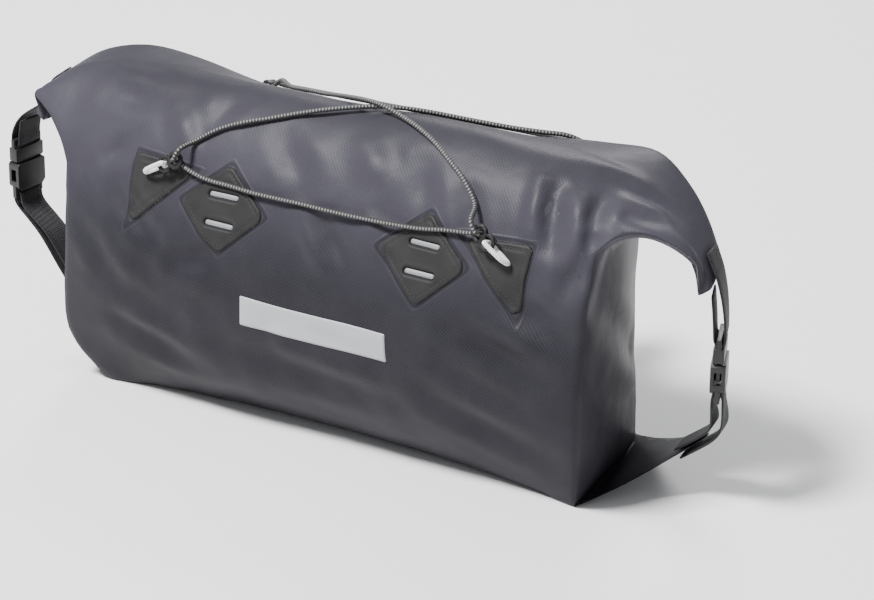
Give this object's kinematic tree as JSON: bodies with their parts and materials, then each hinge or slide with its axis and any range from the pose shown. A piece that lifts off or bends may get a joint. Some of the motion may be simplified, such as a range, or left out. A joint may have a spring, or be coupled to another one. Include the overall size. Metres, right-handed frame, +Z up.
{
  "type": "bicycle handlebar bag",
  "caption": "Roll-top handlebar bag of coated cloth with a boxed bottom, side buckles, lash patches and an elastic cord over the top.",
  "frame": {"origin": "middle of the flat bottom", "axes": "+X to the right of the front panel, +Y to the back, +Z up"},
  "size_m": [0.5555, 0.2073, 0.232],
  "materials": {
    "cloth": "coated woven cloth",
    "rubber": "matt rubbery patch",
    "reflector": "reflective strip",
    "label": "reflective strip",
    "white_cord": "braided cord",
    "plastic": "moulded plastic",
    "cord": "braided elastic cord",
    "webbing": "woven webbing",
    "foam": "closed cell foam",
    "bar_rubber": "moulded strap"
  },
  "bodies": {
    "root": {"bag_shell": "cloth", "patch_triangle_left": "rubber", "patch_diamond_left": "rubber", "reflector_left_upper": "reflector", "reflector_left_lower": "reflector", "patch_triangle_right": "rubber", "patch_diamond_right": "rubber", "reflector_right_upper": "reflector", "reflector_right_lower": "reflector", "label_strip": "label", "cord_loop_left": "white_cord", "cord_hook_front_left": "plastic", "cord_hook_rear_left": "plastic", "rear_loop_left": "white_cord", "cord_loop_right": "white_cord", "cord_hook_front_right": "plastic", "cord_hook_rear_right": "plastic", "rear_loop_right": "white_cord", "shock_cord": "cord", "strap_upper_left": "webbing", "buckle_male_left": "plastic", "buckle_female_left": "plastic", "strap_lower_left": "webbing", "spacer_left": "foam", "bar_strap_left": "bar_rubber", "strap_upper_right": "webbing", "buckle_male_right": "plastic", "buckle_female_right": "plastic", "strap_lower_right": "webbing", "spacer_right": "foam", "bar_strap_right": "bar_rubber"}
  },
  "joints": []
}
